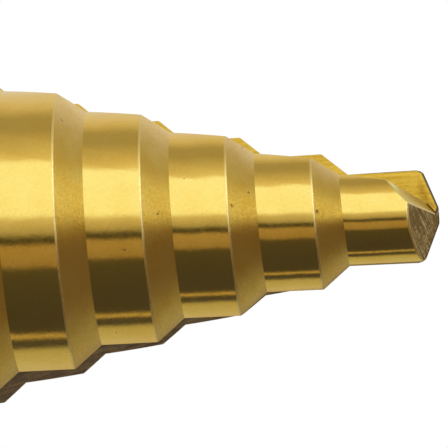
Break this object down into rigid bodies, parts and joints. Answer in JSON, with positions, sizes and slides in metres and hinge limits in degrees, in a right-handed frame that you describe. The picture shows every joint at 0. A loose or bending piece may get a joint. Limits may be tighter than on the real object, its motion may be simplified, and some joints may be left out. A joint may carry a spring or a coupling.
{
  "type": "step drill",
  "caption": "Coated step drill bit for sheet metal: stepped cutting head with straight flutes and a split point on a three-flat shank.",
  "frame": {"origin": "centre of the shank's flat end face", "axes": "+Z along the drill's axis, from the shank's end to the point; +X is the direction of one land's cutting edge"},
  "size_m": [0.032, 0.032, 0.0824],
  "materials": {
    "coated_steel": "gold titanium nitride coating over ground tool steel"
  },
  "bodies": {
    "root": {"step_drill": "coated_steel"}
  },
  "joints": []
}
